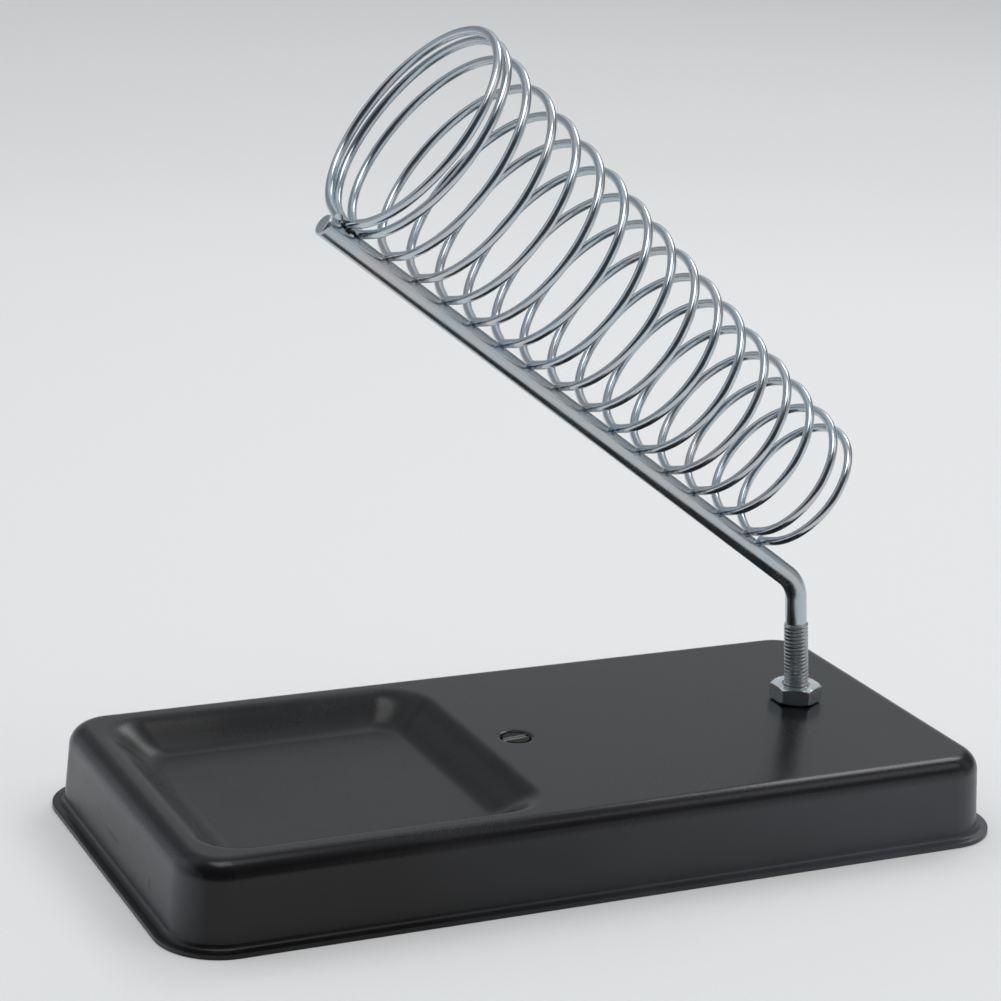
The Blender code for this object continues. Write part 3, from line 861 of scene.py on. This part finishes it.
def washer_profile(bore, radius, thickness):
    """A punched washer: rounded on its die side, nearly sharp on the other."""
    soft = thickness * 0.3
    burr = thickness * 0.08
    return [
        (bore, thickness - burr), (bore + burr, thickness), (radius - soft, thickness),
        (radius - soft * 0.3, thickness - soft * 0.3), (radius, thickness - soft),
        (radius, burr), (radius - burr, 0.0), (bore + burr, 0.0), (bore, burr),
    ]


def make_spring_washer(material):
    """A split lock washer: square wire in one open turn, its ends a little apart in height."""
    low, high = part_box("leg_spring_washer")
    thickness = high.z - low.z
    outer = (high.x - low.x) / 2
    inner = LEG_CLEARANCE
    middle = (outer + inner) / 2
    half_width = (outer - inner) / 2
    half_height = thickness / 2 * 0.86
    soft = 0.12 * MM
    section = rounded_outline((-half_width, -half_height), (half_width, half_height), soft, 3)
    split = 0.5 * MM / middle
    steps = 90
    rings = []
    for step in range(steps + 1):
        angle = -math.pi / 2 + split + (math.tau - 2 * split) * step / steps
        lift = thickness / 2 + (step / steps - 0.5) * thickness * 0.14
        rings.append([
            (LEG.x + (middle + r) * math.cos(angle), LEG.y + (middle + r) * math.sin(angle),
             low.z + lift + h)
            for r, h in section
        ])
    mesh = loft("split_lock_washer", rings)
    new_piece("split_lock_washer", mesh, material, "base", "zinc_hardware", "leg_spring_washer")


def make_screw(material, worn):
    """Countersunk slotted screw: domed edge, cone, threaded shank and chamfered end."""
    low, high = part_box("ballast_screw")
    sides = 64
    top = high.z
    seat = top - SCREW_HEAD_RIM
    shank = seat - SCREW_HEAD_CONE
    rows = [(0.02 * MM, top), (SCREW_HEAD_RADIUS * 0.5, top), (SCREW_HEAD_RADIUS - 0.14 * MM, top),
            (SCREW_HEAD_RADIUS - 0.04 * MM, top - 0.04 * MM), (SCREW_HEAD_RADIUS, top - 0.14 * MM),
            (SCREW_HEAD_RADIUS, seat), (SCREW_RADIUS, shank)]
    rings = []
    for radius, height in rows:
        rings.append([(x, y, height) for x, y in circle_outline(SCREW, radius, sides)])
    count = int((shank - low.z) / SCREW_PITCH * 10)
    angles = math.tau * np.arange(sides) / sides
    for step in range(1, count + 1):
        travel = (shank - low.z) * step / count
        fade = min(1.0, step / 10)
        radii = thread_radii(-travel, sides, SCREW_RADIUS, 0.3 * MM * fade, SCREW_PITCH)
        radii = np.minimum(radii, SCREW_RADIUS - 0.3 * MM + (shank - low.z - travel))
        level = np.full(sides, shank - travel)
        x, y = SCREW.x + radii * np.cos(angles), SCREW.y + radii * np.sin(angles)
        rings.append(np.stack([x, y, level], axis=1))
    mesh = loft("ballast_screw_slotted", rings, sharp=30.0)
    piece = new_piece("ballast_screw_slotted", mesh, material, "base", "blackened_screw",
                      "ballast_screw")
    mesh.materials.append(worn)

    bm = bmesh.new()
    size = (SCREW_HEAD_RADIUS * 3, SLOT_WIDTH, SLOT_DEPTH * 2)
    bmesh.ops.create_cube(bm, size=1.0, matrix=Matrix.Diagonal((*size, 1.0)))
    slot_mesh = bpy.data.meshes.new("slot")
    bm.to_mesh(slot_mesh)
    bm.free()
    slot_mesh.materials.append(worn)
    cutter = bpy.data.objects.new("slot", slot_mesh)
    bpy.context.scene.collection.objects.link(cutter)
    cutter.location = (SCREW.x, SCREW.y, top)
    cutter.rotation_euler.z = SLOT_ANGLE
    bpy.context.view_layer.update()
    cut = piece.modifiers.new("slot", "BOOLEAN")
    cut.operation = "DIFFERENCE"
    cut.solver = "EXACT"
    cut.object = cutter
    cut.material_mode = "TRANSFER"
    apply_modifiers(piece)
    bpy.data.objects.remove(cutter)
    piece.data.shade_smooth()
    piece.data.set_sharp_from_angle(angle=math.radians(30.0))


def make_ballast(material):
    """Flat bar cut to length, with broken edges and two drilled holes."""
    low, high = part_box("ballast_plate")
    soft = 0.35 * MM
    bm = bmesh.new()
    levels = ((soft, low.z), (0.0, low.z + soft), (0.0, high.z - soft), (soft, high.z))
    caps = {low.z: [], high.z: []}
    outer = []
    for inset, height in levels:
        corners = (low.x + inset, low.y + inset), (high.x - inset, high.y - inset)
        outline = rounded_outline(*corners, 1.0 * MM - inset * 0.5, 5)
        outer.append(add_ring(bm, outline, height))
    bridge_stack(bm, outer)
    stacks = [outer]
    for centre, radius in ((LEG, LEG_CLEARANCE), (SCREW, SCREW_RADIUS + 0.3 * MM)):
        stack = []
        for inset, height in levels:
            stack.append(add_ring(bm, circle_outline(centre, radius + inset * 0.6, 48), height))
        bridge_stack(bm, stack[::-1])
        stacks.append(stack)
    for stack in stacks:
        caps[low.z] += ring_edges(bm, stack[0])
        caps[high.z] += ring_edges(bm, stack[-1])
    for edges in caps.values():
        bmesh.ops.triangle_fill(bm, use_beauty=True, edges=edges, normal=(0.0, 0.0, 1.0))
    mesh = bpy.data.meshes.new("ballast_bar")
    bm.to_mesh(mesh)
    bm.free()
    finish_mesh(mesh, 30.0)
    new_piece("ballast_bar", mesh, material, "base", "ballast_steel", "ballast_plate")


# ---------------------------------------------------------------- stage

def make_floor():
    """Pale paper floor with painted shade: a little greyer away from the object, where less light
    falls.
    """
    mesh = bpy.data.meshes.new("floor")
    bm = bmesh.new()
    bmesh.ops.create_circle(bm, cap_ends=True, segments=96, radius=9.0)
    bm.to_mesh(mesh)
    bm.free()
    floor = bpy.data.objects.new("floor", mesh)
    bpy.context.scene.collection.objects.link(floor)
    material, tree, shader = start_material("paper")
    place = add(tree, "ShaderNodeTexCoord").outputs["Object"]
    fibres = noise_value(tree, place, 900.0, 3.0)
    distance = vector_maths(tree, "LENGTH", place, result="Value")
    # painted shade: the paper's colour darkens with distance to stand for the light falling off
    painted_falloff = spread(tree, distance, 0.0, 1.0, 0.52, 0.78)
    tone = mix(tree, painted_falloff, (0.84, 0.84, 0.838), (0.79, 0.79, 0.788))
    tone = mix(tree, spread(tree, fibres, 0.0, 0.04), tone, (0.5, 0.5, 0.5))
    tree.links.new(tone, shader.inputs["Base Color"])
    shader.inputs["Roughness"].default_value = 0.9
    shader.inputs["Specular IOR Level"].default_value = 0.1
    mesh.materials.append(material)


def lobe(tree, direction, aim, start, end):
    """1 within end degrees of a direction, falling smoothly to 0 at start degrees."""
    target = tuple(Vector(aim).normalized())
    inputs = {
        "Value": vector_maths(tree, "DOT_PRODUCT", direction, target, result="Value"),
        "From Min": math.cos(math.radians(start)),
        "From Max": math.cos(math.radians(end)),
    }
    fade = add(tree, "ShaderNodeMapRange", inputs, interpolation_type="SMOOTHSTEP")
    return fade.outputs["Result"]


def make_world():
    """A pale room, brighter above the back and the right, unlit above and behind the camera."""
    world = bpy.data.worlds.new("room")
    bpy.context.scene.world = world
    world.use_nodes = True
    tree = world.node_tree
    direction = add(tree, "ShaderNodeTexCoord").outputs["Generated"]
    height = add(tree, "ShaderNodeSeparateXYZ", {0: direction}).outputs["Z"]
    tone = ramp(tree, height, (0.0, (0.40, 0.41, 0.42)), (0.30, (0.44, 0.455, 0.475)),
                (0.55, (0.72, 0.76, 0.80)), (1.0, (0.50, 0.53, 0.57)))
    for aim, start, end, shade in ROOM_PATCHES:
        tone = mix(tree, lobe(tree, direction, aim, start, end), tone, shade)
    seen = add(tree, "ShaderNodeLightPath").outputs["Is Camera Ray"]
    tone = mix(tree, seen, tone, (0.61, 0.61, 0.61))
    tree.links.new(tone, tree.nodes["Background"].inputs["Color"])


def make_area_light(name, place, size, power, colour=(1.0, 1.0, 1.0)):
    light = bpy.data.lights.new(name, "AREA")
    light.shape = "RECTANGLE"
    light.size, light.size_y = size
    light.energy = power
    light.color = colour
    item = bpy.data.objects.new(name, light)
    item.location = place
    sight = Vector(LIGHT_AIM) - Vector(place)
    item.rotation_euler = sight.to_track_quat("-Z", "Y").to_euler()
    bpy.context.scene.collection.objects.link(item)
    return item


def make_lights():
    """A wide ceiling panel that polished surfaces don't show, and soft boxes that they do."""
    ceiling = make_area_light("ceiling", (0.0, 0.3, 2.6), (5.0, 5.0), 53.0)
    ceiling.visible_glossy = False
    make_area_light("key", (0.85, 0.62, 1.05), (0.50, 0.40), 2.4, (1.0, 0.995, 0.98))
    make_area_light("overhead", (0.0, -0.04, 1.15), (0.52, 0.46), 2.3, (1.0, 0.995, 0.98))
    make_area_light("side_card", (0.72, -0.36, 1.00), (0.46, 0.42), 0.72)
    make_area_light("front_card", (0.70, -0.85, 0.28), (0.70, 0.50), 0.55)


def make_camera():
    """The view: from the front left, a little above the base."""
    yaw, pitch, roll = (math.radians(value) for value in CAMERA_ANGLES)
    level = Vector((math.cos(yaw), math.sin(yaw), 0.0))
    ahead = Vector((-math.sin(yaw), math.cos(yaw), 0.0))
    forward = ahead * math.cos(pitch) - Vector((0.0, 0.0, math.sin(pitch)))
    above = level.cross(forward)
    right = level * math.cos(roll) + above * math.sin(roll)
    up = above * math.cos(roll) - level * math.sin(roll)
    data = bpy.data.cameras.new("camera")
    data.sensor_width = 36.0
    data.lens = CAMERA_LENS
    data.shift_x, data.shift_y = CAMERA_SHIFT
    data.clip_start = 0.01
    camera = bpy.data.objects.new("camera", data)
    bpy.context.scene.collection.objects.link(camera)
    camera.matrix_world = Matrix((
        (right.x, up.x, -forward.x, CAMERA_PLACE[0]),
        (right.y, up.y, -forward.y, CAMERA_PLACE[1]),
        (right.z, up.z, -forward.z, CAMERA_PLACE[2]),
        (0.0, 0.0, 0.0, 1.0),
    ))
    bpy.context.scene.camera = camera


# ---------------------------------------------------------------- build

make_camera()
make_world()
make_floor()
make_lights()

enamel = enamel_material()
rod_zinc = zinc_material("zinc_rod", (0.56, 0.585, 0.60), 0.25, along_wire=True)
wire_zinc = zinc_material("zinc_wire", (0.62, 0.655, 0.685), 0.19, along_wire=True)
nut_zinc = zinc_material("zinc_hardware", (0.78, 0.795, 0.80), 0.25, along_wire=False, milky=0.10)
burnt = burnt_material()
ballast_steel = steel_material("ballast_steel", (0.10, 0.10, 0.105), (0.20, 0.195, 0.19),
                               0.45, 0.8, 60.0, 0.8)
black_oxide = screw_material()
worn_slot = steel_material("worn_slot", (0.38, 0.37, 0.34), (0.54, 0.52, 0.48), 0.5, 0.3, 900.0)

wire_path = coil_points()
crossings = wire_path[::POINTS_PER_TURN]
_, _, away_from_rod, _ = arm_frame()
contacts = [point - away_from_rod * (WIRE_RADIUS - WELD_SINK / 2) for point in crossings]

make_base(enamel)
make_rod(rod_zinc, contacts)
make_coil(wire_zinc, wire_path, contacts)
make_welds(burnt, contacts)
make_nut("upper_hex_nut", "upper_lock_nut", nut_zinc, "upper_nut", "zinc_hardware",
         NUT_FLATS, BORE, THREAD_PITCH, math.radians(-30.0))
make_nut("lower_hex_nut", "lower_lock_nut", nut_zinc, "lower_nut", "zinc_hardware",
         NUT_FLATS, BORE, THREAD_PITCH, 0.0)
make_nut("ballast_hex_nut", "ballast_nut", nut_zinc, "base", "zinc_hardware",
         SMALL_NUT_FLATS, SCREW_RADIUS + 0.06 * MM, SCREW_PITCH, math.radians(-30.0))
make_round("plain_washer", "leg_washer", nut_zinc, "zinc_hardware",
           washer_profile(LEG_CLEARANCE, 5.0 * MM, 1.0 * MM))
make_round("small_washer", "ballast_washer", nut_zinc, "zinc_hardware",
           washer_profile(1.8 * MM, 3.5 * MM, 0.5 * MM))
make_spring_washer(nut_zinc)
make_screw(black_oxide, worn_slot)
make_ballast(ballast_steel)

bpy.context.scene.view_settings.view_transform = "Standard"
